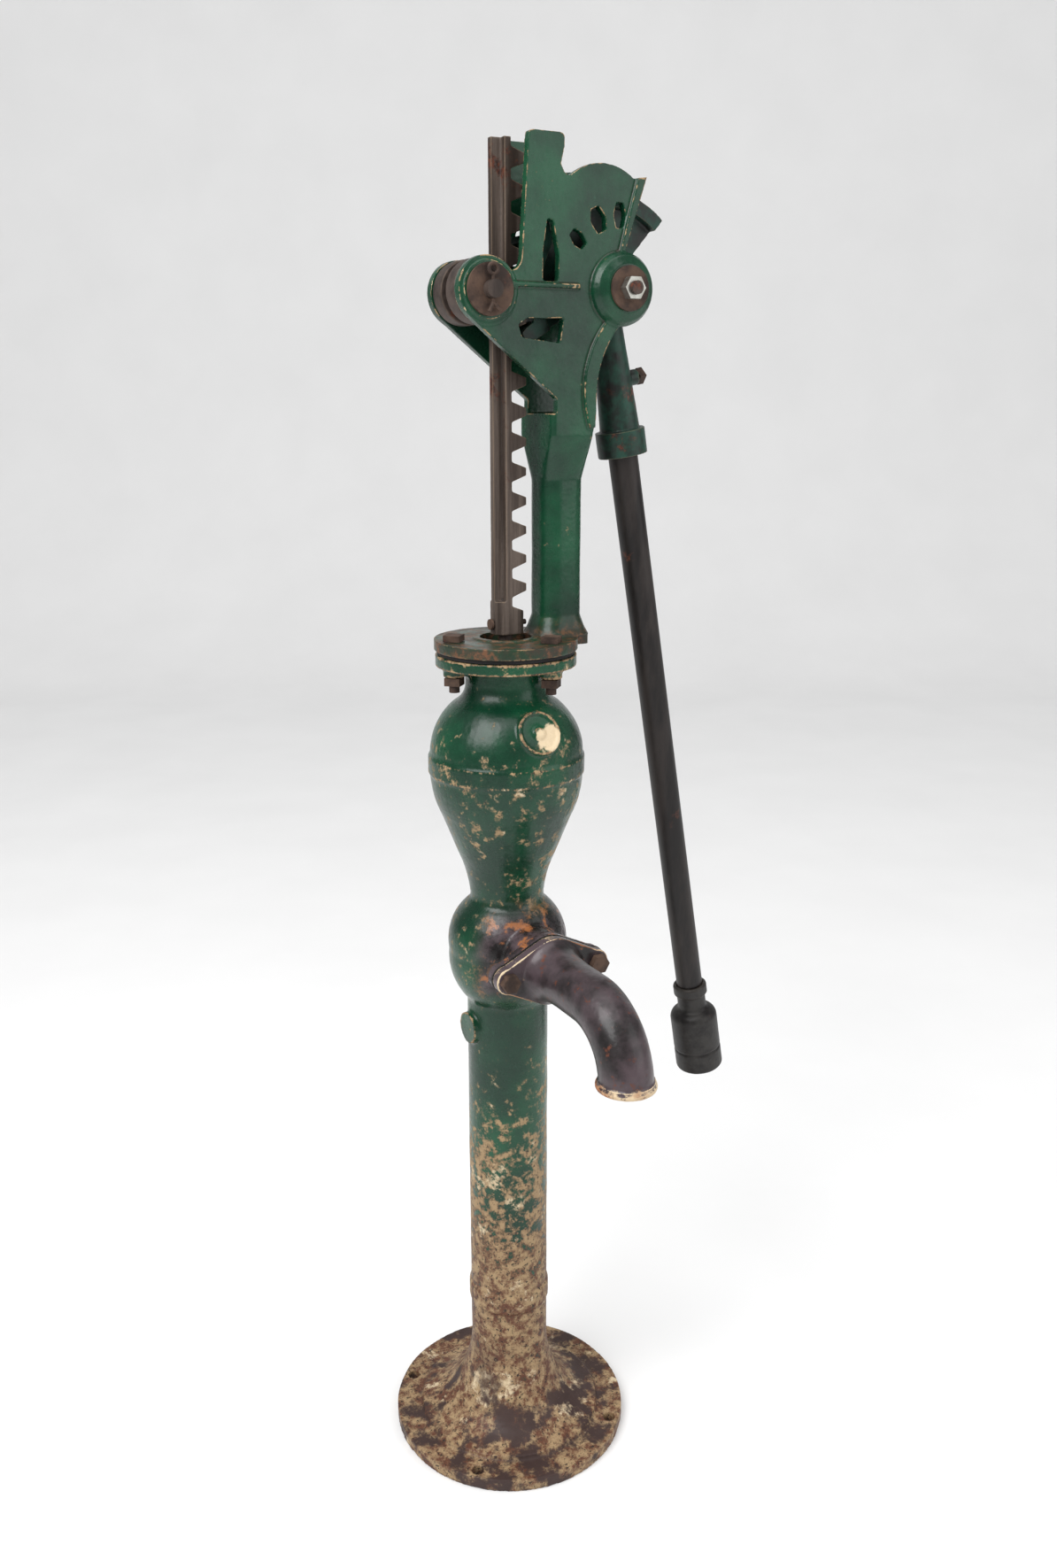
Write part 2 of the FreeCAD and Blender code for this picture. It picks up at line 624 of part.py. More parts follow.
def involute(base, radius):
    """The angle, in radians, that an involute has turned through at a radius."""
    press = math.acos(min(1.0, base / radius))
    return math.tan(press) - press


def make_lever_sector():
    """Toothed sector, hub and handle socket in one casting, its Z axis along the handle."""
    body = new_body("lever_sector")
    pitch_radius = value("sector_radius")
    tip = pitch_radius + value("tooth_out")
    beyond = tip + 3
    root = pitch_radius - value("tooth_in")
    for inner, outer, first, thickness in (
            ("sector_radius - tooth_in - sector_rim", "sector_radius - tooth_in", "rim_first",
             "2 * sector_half"),
            ("sector_radius - tooth_in - 2", "sector_radius + tooth_out", "teeth_first",
             "2 * sector_half"),
            ("sector_hub - 6", "sector_radius - tooth_in - 4", "rim_first", "2 * web_half")):
        band = new_sketch(body, "XZ_Plane")
        draw_arc_band(band, inner, outer, first + " - lever_angle", "teeth_last - lever_angle")
        pad(body, band, thickness, middle=True)
    hub = new_sketch(body, "XZ_Plane")
    draw_circle(hub, "0", "0", "sector_hub")
    pad(body, hub, "2 * (cheek_in - 0.3)", middle=True)

    socket = new_sketch(body, "XZ_Plane")
    draw_outline(socket, [
        ("0", "-collar_to"), ("collar_out", "-collar_to"), ("collar_out", "-collar_from"),
        ("socket_end", "-collar_from"), ("socket_top", "10 - sector_hub"), ("0", "10 - sector_hub")])
    spin(body, socket)
    doc.recompute()

    gap = new_sketch(body, "XZ_Plane")
    base = pitch_radius * math.cos(math.radians(value("press_angle")))
    tooth_half = (value("tooth_pitch") / 2 - value("backlash") / 2) / 2 / pitch_radius
    half_gap = math.pi / value("sector_teeth") - tooth_half
    low = max(base, root)
    spread = [half_gap - involute(base, pitch_radius) + involute(base, radius)
              for radius in (low, 0.5 * (low + tip), beyond)]
    middle = math.radians(value("180 - lever_angle + tooth_angle"))

    def spot(radius, turn):
        return Vector(radius * math.cos(middle + turn), radius * math.sin(middle + turn), 0)

    for sign in (1, -1):
        flank = [spot(radius, sign * turn)
                 for radius, turn in zip((low, 0.5 * (low + tip), beyond), spread)]
        gap.addGeometry(Part.Arc(*flank), False)
        gap.addGeometry(Part.LineSegment(spot(root, sign * spread[0]), flank[0]), False)
    gap.addGeometry(Part.LineSegment(spot(root, spread[0]), spot(root, -spread[0])), False)
    gap.addGeometry(Part.LineSegment(spot(beyond, spread[2]), spot(beyond, -spread[2])),
                    False)
    first_cut = pocket(body, gap, "2 * sector_half + 2", middle=True)
    pattern = body.newObject("PartDesign::PolarPattern", "sector_teeth_pattern")
    pattern.Originals = [first_cut]
    pattern.Axis = (origin_of(body, "Y_Axis"), [""])
    bind(pattern, Angle="(sector_gaps - 1) * tooth_angle", Occurrences="sector_gaps")
    body.Tip = pattern
    doc.recompute()

    lug = new_sketch(body, "YZ_Plane")
    draw_circle(lug, "0", "-screw_place", "screw_lug")
    pad(body, lug, "socket_end + 7")
    screw_hole = new_sketch(body, "YZ_Plane", "socket_end + 8")
    draw_circle(screw_hole, "0", "-screw_place", "screw_radius + slip")
    pocket(body, screw_hole, "socket_end + 8")
    bore = new_sketch(body, "XZ_Plane")
    draw_circle(bore, "0", "0", "pivot_radius + slip")
    pocket(body, bore, "2 * cheek_out", middle=True)
    pipe_seat = new_sketch(body, "XY_Plane", "-collar_to")
    draw_circle(pipe_seat, "0", "0", "pipe_radius + slip")
    pocket(body, pipe_seat, "collar_to - pipe_from + slip", flip=True)
    place(body, "pivot_place", "0", "pivot_level")
    lean(body)
    return body


def draw_arc_band(sketch, inner, outer, first, last):
    """A band between two radii and two angles about the sketch's origin."""
    low, high = math.radians(value(first)), math.radians(value(last))
    origin, normal = Vector(), Vector(0, 0, 1)
    spots = []
    for radius, angle in ((inner, low), (outer, low), (outer, high), (inner, high)):
        spots.append(Vector(value(radius) * math.cos(angle), value(radius) * math.sin(angle), 0))
    sketch.addGeometry(Part.LineSegment(spots[0], spots[1]), False)
    sketch.addGeometry(Part.ArcOfCircle(Part.Circle(origin, normal, value(outer)), low, high),
                       False)
    sketch.addGeometry(Part.LineSegment(spots[2], spots[3]), False)
    sketch.addGeometry(Part.ArcOfCircle(Part.Circle(origin, normal, value(inner)), low, high),
                       False)
    add_limits(sketch, [
        (Sketcher.Constraint("Coincident", 1, 3, -1, 1), None),
        (Sketcher.Constraint("Coincident", 3, 3, -1, 1), None),
        (Sketcher.Constraint("Coincident", 0, 1, 3, 1), None),
        (Sketcher.Constraint("Coincident", 0, 2, 1, 1), None),
        (Sketcher.Constraint("Coincident", 2, 1, 1, 2), None),
        (Sketcher.Constraint("Coincident", 2, 2, 3, 2), None),
        (Sketcher.Constraint("Radius", 1, value(outer)), outer),
        (Sketcher.Constraint("Radius", 3, value(inner)), inner)])


def lean(item):
    """Turn a lever part from hanging straight down to its rest angle."""
    item.Placement = Placement(item.Placement.Base, Rotation(Vector(0, -1, 0), 1))
    bind(item, Placement__Rotation__Angle="lever_angle")


# ---------------------------------------------------------------- spout

def make_spout():
    """Cast bend: two-bolt plate, flared root, pipe turning down and a rolled lip."""
    body = new_body("spout")
    back = "spout_face + spout_gasket"
    plate = new_sketch(body, "XZ_Plane", back)
    draw_outline(plate, oval_steps())
    pad(body, plate, "spout_plate")
    path = new_sketch(body, "YZ_Plane")
    bend_from = "-(%s + spout_run)" % back
    outlet = "-(%s + spout_run + spout_bend)" % back
    draw_path(path, [("-(%s)" % back, "spout_level"), (bend_from, "spout_level", "spout_bend"),
                     (outlet, "spout_level - spout_bend")])
    pipe_along(body, "AdditivePipe", "spout_radius", back, path)
    flare = body.newObject("PartDesign::AdditiveLoft", "spout_flare")
    rings = []
    for reach, radius in (("spout_plate", "spout_oval - 1"), ("spout_plate + 7", "spout_radius + 4.5"),
                          ("spout_plate + 22", "spout_radius + 1"),
                          ("spout_plate + 45", "spout_radius - 0.5")):
        rings.append(new_sketch(body, "XZ_Plane", "%s + %s" % (back, reach)))
        draw_circle(rings[-1], "0", "spout_level", radius)
    flare.Profile = rings[0]
    flare.Sections = rings[1:]
    for reach, height in (("spout_lip", "5"), ("spout_lip / 2", "9")):
        lip = new_sketch(body, "XY_Plane", "spout_level - spout_bend")
        draw_circle(lip, "0", outlet, "spout_radius + " + reach)
        pad(body, lip, height)
    doc.recompute()
    pipe_along(body, "SubtractivePipe", "spout_radius - spout_wall", back, path)
    for side in ("-", ""):
        hole = new_sketch(body, "XZ_Plane", back)
        draw_circle(hole, side + "spout_lug_place", "spout_level", "spout_bolt_radius + 0.5")
        pocket(body, hole, "spout_plate", flip=True)
    return body


def draw_path(sketch, steps):
    """An open run of straight lines and arcs through the given (x, y) steps."""
    corners = [Vector(value(step[0]), value(step[1]), 0) for step in steps]
    limits = []
    for index in range(len(steps) - 1):
        start, end = corners[index], corners[index + 1]
        ends = (1, 2)
        if len(steps[index]) == 3:
            radius = value(steps[index][2])
            sketch.addGeometry(arc_between(start, end, radius), False)
            ends = (1, 2) if radius > 0 else (2, 1)
            limits.append((Sketcher.Constraint("Radius", index, abs(radius)),
                           "abs(%s)" % steps[index][2]))
        else:
            sketch.addGeometry(Part.LineSegment(start, end), False)
        if index:
            limits.append((Sketcher.Constraint("Coincident", index - 1, last, index, ends[0]), None))
        last = ends[1]
        for axis, text in (("DistanceX", steps[index][0]), ("DistanceY", steps[index][1])):
            limits.append((Sketcher.Constraint(axis, -1, 1, index, ends[0], value(text)), text))
    for axis, text in (("DistanceX", steps[-1][0]), ("DistanceY", steps[-1][1])):
        limits.append((Sketcher.Constraint(axis, -1, 1, index, last, value(text)), text))
    add_limits(sketch, limits)


def pipe_along(body, kind, radius, back, path):
    profile = new_sketch(body, "XZ_Plane", back)
    draw_circle(profile, "0", "spout_level", radius)
    pipe = body.newObject("PartDesign::" + kind, "spout_" + kind.lower())
    pipe.Profile = profile
    pipe.Spine = path


def make_spout_gasket():
    body = new_body("spout_gasket")
    sheet_sketch = new_sketch(body, "XZ_Plane", "spout_face")
    draw_outline(sheet_sketch, oval_steps())
    pad(body, sheet_sketch, "spout_gasket")
    for across, radius in (("0", "spout_radius - spout_wall"),
                           ("-spout_lug_place", "spout_bolt_radius + 0.5"),
                           ("spout_lug_place", "spout_bolt_radius + 0.5")):
        hole = new_sketch(body, "XZ_Plane", "spout_face")
        draw_circle(hole, across, "spout_level", radius)
        pocket(body, hole, "spout_gasket", flip=True)
    return body


def make_spout_fasteners():
    """Two hexagon bolts through the spout plate, with nuts behind the stand's ears."""
    bolts, nuts = [], []
    front = "-(spout_face + spout_gasket + spout_plate)"
    rear = "spout_plate - spout_face"
    for side in ("-", ""):
        across = side + "spout_lug_place"
        shank = cylinder("bolt_shank", "spout_bolt_radius",
                         "2 * spout_plate + spout_gasket + 14",
                         (across, rear + " + 14", "spout_level"), "Y")
        head = prism("bolt_head", "20", "8", (across, front, "spout_level"), "Y")
        bolts.append(fuse("spout_bolt", shank, head))
        blank = prism("nut_blank", "19", "9", (across, rear + " + 9", "spout_level"), "Y")
        bore = cylinder("nut_bore", "spout_bolt_radius + slip", "9",
                        (across, rear + " + 9", "spout_level"), "Y")
        nuts.append(cut("spout_nut", blank, bore))
    return [group("spout_bolts", bolts), group("spout_nuts", nuts)]


# ---------------------------------------------------------------- head joint

def make_head_gasket():
    body = new_body("head_gasket")
    ring = new_sketch(body, "XY_Plane", "joint_face")
    draw_circle(ring, "0", "0", "flange_radius - 4")
    draw_circle(ring, "0", "0", "collar_radius - wall")
    pad(body, ring, "gasket_gap")
    hole_sketch = new_sketch(body, "XY_Plane", "joint_face")
    draw_circle(hole_sketch, bolt_x(0), bolt_y(0), "head_bolt_radius + 0.5")
    hole = pocket(body, hole_sketch, "gasket_gap", flip=True)
    turn_about_axis(body, [hole], 3)
    return body


def make_flange_fasteners():
    """Three square-headed bolts down through the head joint, with square nuts below."""
    bolts, nuts = [], []
    top = "joint_face + gasket_gap + head_flange"
    nut_top = "joint_low - lug_drop"
    for index in range(3):
        spot = (bolt_x(index), bolt_y(index))
        shank = cylinder("bolt_shank", "head_bolt_radius", "%s - (%s) + 17" % (top, nut_top),
                         spot + (nut_top + " - 17",))
        head = prism("bolt_head", "19", "7", spot + (top,), sides=4)
        bolts.append(fuse("flange_bolt", shank, head))
        blank = prism("nut_blank", "18", "9", spot + (nut_top + " - 9",), sides=4)
        bore = cylinder("nut_bore", "head_bolt_radius + slip", "9", spot + (nut_top + " - 9",))
        nuts.append(cut("flange_nut", blank, bore))
    return [group("flange_bolts", bolts), group("flange_nuts", nuts)]


# ---------------------------------------------------------------- lever

def make_lever_parts():
    pipe = turned_part("handle_pipe", ring_steps(
        "pipe_radius - pipe_wall", "pipe_radius", "-pipe_to", "-pipe_from"))
    knob = turned_part("handle_knob", [
        ("0", "-knob_end"), ("knob_radius - 5", "-knob_end", "5.01"),
        ("knob_radius", "-(knob_end - 5)"), ("knob_radius", "-(knob_end - 28)"),
        ("knob_radius - 1.2", "-(knob_end - 29)"), ("knob_radius - 1.2", "-(knob_end - 31)"),
        ("knob_radius", "-(knob_end - 32)"), ("knob_radius", "-(knob_shoulder + 13)", "13.01"),
        ("knob_radius - 10", "-knob_shoulder"), ("knob_neck", "-(knob_shoulder - 3)"),
        ("knob_neck", "-(knob_from + 16)"), ("knob_ring", "-(knob_from + 14)"),
        ("knob_ring", "-(knob_from + 2)"), ("knob_ring - 2", "-knob_from"),
        ("pipe_radius + slip", "-knob_from"), ("pipe_radius + slip", "-(pipe_to + slip)"),
        ("0", "-(pipe_to + slip)")])
    shank = cylinder("screw_shank", "screw_radius", "socket_end + 11 - pipe_radius",
                     ("pipe_radius + 2 * slip", "0", "-screw_place"), "X")
    head = prism("screw_head", "13", "8", ("socket_end + 8", "0", "-screw_place"), "X", sides=4)
    screw = fuse("handle_set_screw", shank, head)
    for item in (pipe, knob, screw):
        place(item, "pivot_place", "0", "pivot_level")
        lean(item)
    return [pipe, knob, screw]


def make_pivot():
    """Stepped pivot bolt across both cheeks, with a washer each side and one nut."""
    spot = ("pivot_place", "dome_face + 3", "pivot_level")
    shaft = cylinder("pivot_shaft", "pivot_radius", "2 * dome_face + 3", spot, "Y")
    stud = cylinder("pivot_stud", "7", "2 * dome_face + 20", spot, "Y")
    head = prism("pivot_head", "32", "10", ("pivot_place", "dome_face + 13", "pivot_level"), "Y")
    bolt = fuse("pivot_bolt", shaft, stud, head)
    washers = []
    for face, bore in (("dome_face + 3", "pivot_radius + slip"), ("-dome_face", "7 + slip")):
        level = ("pivot_place", face, "pivot_level")
        blank = cylinder("washer_blank", "dome_high - 2", "3", level, "Y")
        washers.append(cut("pivot_washer", blank, cylinder("washer_bore", bore, "3", level, "Y")))
    level = ("pivot_place", "-(dome_face + 3)", "pivot_level")
    nut = cut("pivot_nut", prism("nut_blank", "22", "10", level, "Y"),
              cylinder("nut_bore", "7 + slip", "10", level, "Y"))
    return [bolt, group("pivot_washers", washers), nut]


# ---------------------------------------------------------------- guide roller

def make_roller():
    """Grooved roller behind the rack, on a headed pin held by a washer and a split pin."""
    roller = turned_part("guide_roller", [
        ("roller_pin + slip", "-(cheek_in - 0.5)"), ("roller_radius - 2", "-(cheek_in - 0.5)"),
        ("roller_radius", "-(cheek_in - 2.5)"), ("roller_radius", "-(groove_half + 1)"),
        ("roller_radius - 1", "-groove_half"), ("roller_radius - groove_deep", "-groove_half"),
        ("roller_radius - groove_deep", "groove_half"), ("roller_radius - 1", "groove_half"),
        ("roller_radius", "groove_half + 1"), ("roller_radius", "cheek_in - 2.5"),
        ("roller_radius - 2", "cheek_in - 0.5"), ("roller_pin + slip", "cheek_in - 0.5")])
    roller.Placement = Placement(Vector(), AXES["Y"])
    place(roller, "roller_place", "0", "roller_level")
    boss_face = "cheek_out + 3.5"
    shank = cylinder("pin_shank", "roller_pin", "2 * (%s) + 14" % boss_face,
                     ("roller_place", boss_face, "roller_level"), "Y")
    head = cylinder("pin_head", "roller_pin + 7", "5",
                    ("roller_place", boss_face + " + 5", "roller_level"), "Y")
    split_level = "-(%s + 9)" % boss_face
    hole = cylinder("split_hole", "2.2", "40", ("roller_place", split_level, "roller_level - 20"))
    pin = cut("roller_pin", fuse("pin_solid", shank, head), hole)
    level = ("roller_place", "-(%s)" % boss_face, "roller_level")
    washer = cut("roller_washer", cylinder("washer_blank", "arm_boss - 8", "4", level, "Y"),
                 cylinder("washer_bore", "roller_pin + slip", "4", level, "Y"))
    middle = Vector(value("roller_place"), value(split_level), value("roller_level"))
    legs = [rod_between(middle + start, middle + end) for start, end in (
        (Vector(0, 0, 15), Vector(0, 0, -13)), (Vector(0, 0, -13), Vector(8, 0, -21)),
        (Vector(0, 0, -13), Vector(-5, 0, -22)))]
    eye = doc.addObject("Part::Torus", "split_eye")
    eye.Radius1 = 5
    eye.Radius2 = 2
    eye.Placement = Placement(middle + Vector(0, 0, 19), AXES["Y"])
    return [roller, pin, washer, fuse("roller_split_pin", eye, *legs)]


def rod_between(start, end):
    """A 4 mm wire from start to end."""
    rod = doc.addObject("Part::Cylinder", "split_leg")
    rod.Radius = 2
    rod.Height = (end - start).Length
    rod.Placement = Placement(start, Rotation(Vector(0, 0, 1), end - start))
    return rod


# ---------------------------------------------------------------- pumping parts

def make_rod():
    shank = cylinder("rod_shank", "rod_radius", "rack_foot_top - 8.1 - (cage_high - 17)",
                     ("0", "0", "cage_high - 17"))
    eye = cylinder("rod_eye", "rod_pin + slip", "40", ("-20", "0", "rack_foot + 12"), "X")
    rod = cut("pump_rod", shank, eye)
    head = cylinder("cotter_head", "rod_pin + 3", "3",
                    ("rack_face - rack_back - rib_deep - 4", "0", "rack_foot + 12"), "X")
    pin = cylinder("cotter_shank", "rod_pin", "rack_tip - rack_face + rack_back + rib_deep + 9",
                   ("rack_face - rack_back - rib_deep - 4", "0", "rack_foot + 12"), "X")
    return [rod, fuse("rod_pin", head, pin)]


def make_piston():
    """Piston plate, cup leather, clamp ring and nut, valve cage and ball."""
    plate_top = "piston_level + piston_plate"
    neck_top = "piston_level + piston_plate + 22"
    plate = turned_part("piston_body", [
        ("ball_seat", "piston_level"), ("liner_bore - 0.5", "piston_level"),
        ("liner_bore - 0.5", plate_top), ("piston_neck", plate_top), ("piston_neck", neck_top),
        ("ball_seat", neck_top)])
    cup = turned_part("piston_cup", [
        ("piston_neck + slip", plate_top), ("liner_bore - slip", plate_top),
        ("liner_bore - slip", plate_top + " + 16"), ("liner_bore - 3.5", plate_top + " + 16"),
        ("liner_bore - 3.5", plate_top + " + 4"), ("piston_neck + slip", plate_top + " + 4")])
    ring = turned_part("cup_ring", ring_steps(
        "piston_neck + slip", "liner_bore - 4.5", plate_top + " + 4", plate_top + " + 9"))
    level = ("0", "0", plate_top + " + 9")
    nut = cut("cup_nut", prism("nut_blank", "48", "8", level),
              cylinder("nut_bore", "piston_neck + slip", "8", level))
    cage = turned_part("piston_cage", [
        ("piston_neck + slip", plate_top + " + 17"), ("piston_neck + 7", plate_top + " + 17"),
        ("piston_neck + 7", "cage_high - 14"), ("rod_radius + 7", "cage_high"),
        ("rod_radius + slip", "cage_high"), ("rod_radius + slip", "cage_high - 18"),
        ("piston_neck + slip", "cage_high - 18")])
    window = new_sketch(cage, "XZ_Plane")
    draw_outline(window, rounded_steps("-11", "11", neck_top + " + 6", "cage_high - 20", "4"))
    opening = pocket(cage, window, "piston_neck + 10")
    turn_about_axis(cage, [opening], 3)
    ball = doc.addObject("Part::Sphere", "piston_ball")
    bind(ball, Radius="ball_radius")
    place(ball, "0", "0", neck_top + " + ball_height + slip / 2")
    return [plate, cup, ring, nut, cage, ball]


def make_liner():
    return turned_part("cylinder_liner", ring_steps(
        "liner_bore", "liner_radius", "liner_low", "liner_high"))


def make_foot_valve():
    """Ported seat on the stand's web, and the faced poppet that lifts off it."""
    seat = turned_part("foot_valve_seat", ring_steps(
        "seat_guide + slip", "liner_radius", "web_high", "liner_low"))
    port = new_sketch(seat, "XY_Plane", "web_high")
    draw_circle(port, "port_place", "0", "port_radius")
    opening = pocket(seat, port, "liner_low - web_high", flip=True)
    turn_about_axis(seat, [opening], 6)
    poppet = turned_part("foot_valve_poppet", [
        ("0", "web_high - valve_lift - 8"), ("seat_guide", "web_high - valve_lift - 8"),
        ("seat_guide", "liner_low + 3"),
        ("poppet_radius", "liner_low + 3"), ("poppet_radius", "liner_low + 7"),
        ("8", "liner_low + 12"), ("0", "liner_low + 12")])
    leather = turned_part("foot_valve_leather", ring_steps(
        "seat_guide + slip", "poppet_radius", "liner_low + slip / 2", "liner_low + 3"))
    level = ("0", "0", "web_high - valve_lift - 6")
    nut = cut("foot_valve_nut", prism("nut_blank", "15", "6", level),
              cylinder("nut_bore", "seat_guide + slip", "6", level))
    return [seat, poppet, leather, nut]


# ---------------------------------------------------------------- build, check and write

pieces = [make_pump_stand(), make_head_casting(), make_rack(), make_lever_sector(), make_spout(),
          make_spout_gasket(), make_head_gasket(), make_liner()]
pieces += make_spout_fasteners() + make_flange_fasteners() + make_lever_parts() + make_pivot()
pieces += make_roller() + make_rod() + make_piston() + make_foot_valve()
doc.recompute()

for item in doc.Objects:
    assert "Invalid" not in item.State and "Error" not in item.State, item.Label + " failed"
for piece in pieces:
    shape = piece.Shape
    assert not shape.isNull() and shape.isValid(), piece.Label + " has a bad shape"
    shape.exportStep("parts/%s.step" % piece.Label)
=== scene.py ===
"""Looks of the hand well pump: cast surfaces, worn paint, rust, light and camera."""
import json
import math

import bmesh
import bpy
import numpy as np
from mathutils import Matrix, Vector, noise

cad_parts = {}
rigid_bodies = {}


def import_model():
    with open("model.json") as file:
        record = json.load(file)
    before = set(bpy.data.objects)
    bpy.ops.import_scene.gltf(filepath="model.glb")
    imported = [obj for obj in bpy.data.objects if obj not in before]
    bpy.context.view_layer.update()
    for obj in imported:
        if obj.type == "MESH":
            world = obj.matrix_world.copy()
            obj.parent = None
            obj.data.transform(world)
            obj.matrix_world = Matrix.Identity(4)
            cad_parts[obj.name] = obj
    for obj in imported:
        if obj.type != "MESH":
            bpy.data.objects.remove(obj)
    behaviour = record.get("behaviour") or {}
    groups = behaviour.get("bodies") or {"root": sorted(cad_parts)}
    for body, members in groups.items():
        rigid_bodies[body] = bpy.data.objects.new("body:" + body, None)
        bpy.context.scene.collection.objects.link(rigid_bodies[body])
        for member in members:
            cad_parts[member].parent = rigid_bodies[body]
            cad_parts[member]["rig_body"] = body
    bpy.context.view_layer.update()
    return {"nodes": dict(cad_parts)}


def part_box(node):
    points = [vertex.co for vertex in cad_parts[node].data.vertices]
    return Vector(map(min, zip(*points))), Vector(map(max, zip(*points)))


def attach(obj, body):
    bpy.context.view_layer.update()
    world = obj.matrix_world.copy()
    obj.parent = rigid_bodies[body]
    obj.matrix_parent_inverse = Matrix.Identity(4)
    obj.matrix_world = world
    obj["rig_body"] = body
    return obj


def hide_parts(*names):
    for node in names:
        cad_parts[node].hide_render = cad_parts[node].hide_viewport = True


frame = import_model()
nodes = frame["nodes"]
MM = 0.001

# Heights and places that the finishes follow, read from the frame.
stand_low, stand_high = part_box("pump_stand")
spout_low, spout_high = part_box("spout")
ear_level = 0.5 * (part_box("spout_bolts")[0].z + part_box("spout_bolts")[1].z)
TOP = stand_high.z
BUMP_DEPTH = 0.6 * MM
BOSS_IN = 63 * MM  # the vase's round boss: its face, in from the base's front edge
BOSS_DROP = 82 * MM  # and its middle, down from the top of the stand
AZIMUTH = 28.0  # degrees the camera stands round to the left of the spout


# ---------------------------------------------------------------- cast pieces from the frame

def cast_copy(node, voxel, rounding, rough, lump, seed):
    """A cast look for a CAD node: remeshed, edges worn round, surface lumpy like sand casting."""
    source = nodes[node]
    piece = bpy.data.objects.new(node + "_cast", source.data.copy())
    bpy.context.scene.collection.objects.link(piece)
    weld = piece.modifiers.new("weld", "WELD")
    weld.merge_threshold = 0.02 * MM
    remesh = piece.modifiers.new("remesh", "REMESH")
    remesh.mode = "VOXEL"
    remesh.voxel_size = voxel * 1.0
    smooth = piece.modifiers.new("smooth", "SMOOTH")
    smooth.factor = 0.5
    smooth.iterations = rounding
    apply_modifiers(piece)
    roughen(piece.data, rough, lump, seed)
    for polygon in piece.data.polygons:
        polygon.use_smooth = True
    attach(piece, source["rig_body"])
    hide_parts(node)
    return piece


def apply_modifiers(piece):
    """Bake a piece's modifiers into its mesh."""
    bpy.context.view_layer.update()
    graph = bpy.context.evaluated_depsgraph_get()
    baked = bpy.data.meshes.new_from_object(piece.evaluated_get(graph))
    piece.modifiers.clear()
    piece.data = baked


def roughen(mesh, rough, lump, seed):
    """Sink each point by fine sand grain and broad lumps, so no piece grows into another."""
    count = len(mesh.vertices)
    spots = np.empty(count * 3, np.float32)
    mesh.vertices.foreach_get("co", spots)
    normals = np.empty(count * 3, np.float32)
    mesh.vertex_normals.foreach_get("vector", normals)
    spots, normals = spots.reshape(-1, 3), normals.reshape(-1, 3)
    shift = Vector((seed * 3.1, seed * 1.7, seed * 0.9))
    push = np.empty(count, np.float32)
    for index, spot in enumerate(spots):
        place = Vector(spot) + shift
        grain = noise.noise(place * 260) + noise.noise(place * 70)
        push[index] = (grain - 1) * rough + (noise.noise(place * 22) - 1) * lump
    mesh.vertices.foreach_set("co", (spots + normals * push[:, None]).ravel())
    mesh.update()


# ---------------------------------------------------------------- shader building blocks

def srgb(red, green, blue):
    """A linear colour from 0-255 display values."""
    def linear(channel):
        share = channel / 255
        return share / 12.92 if share <= 0.04045 else ((share + 0.055) / 1.055) ** 2.4
    return (linear(red), linear(green), linear(blue), 1)


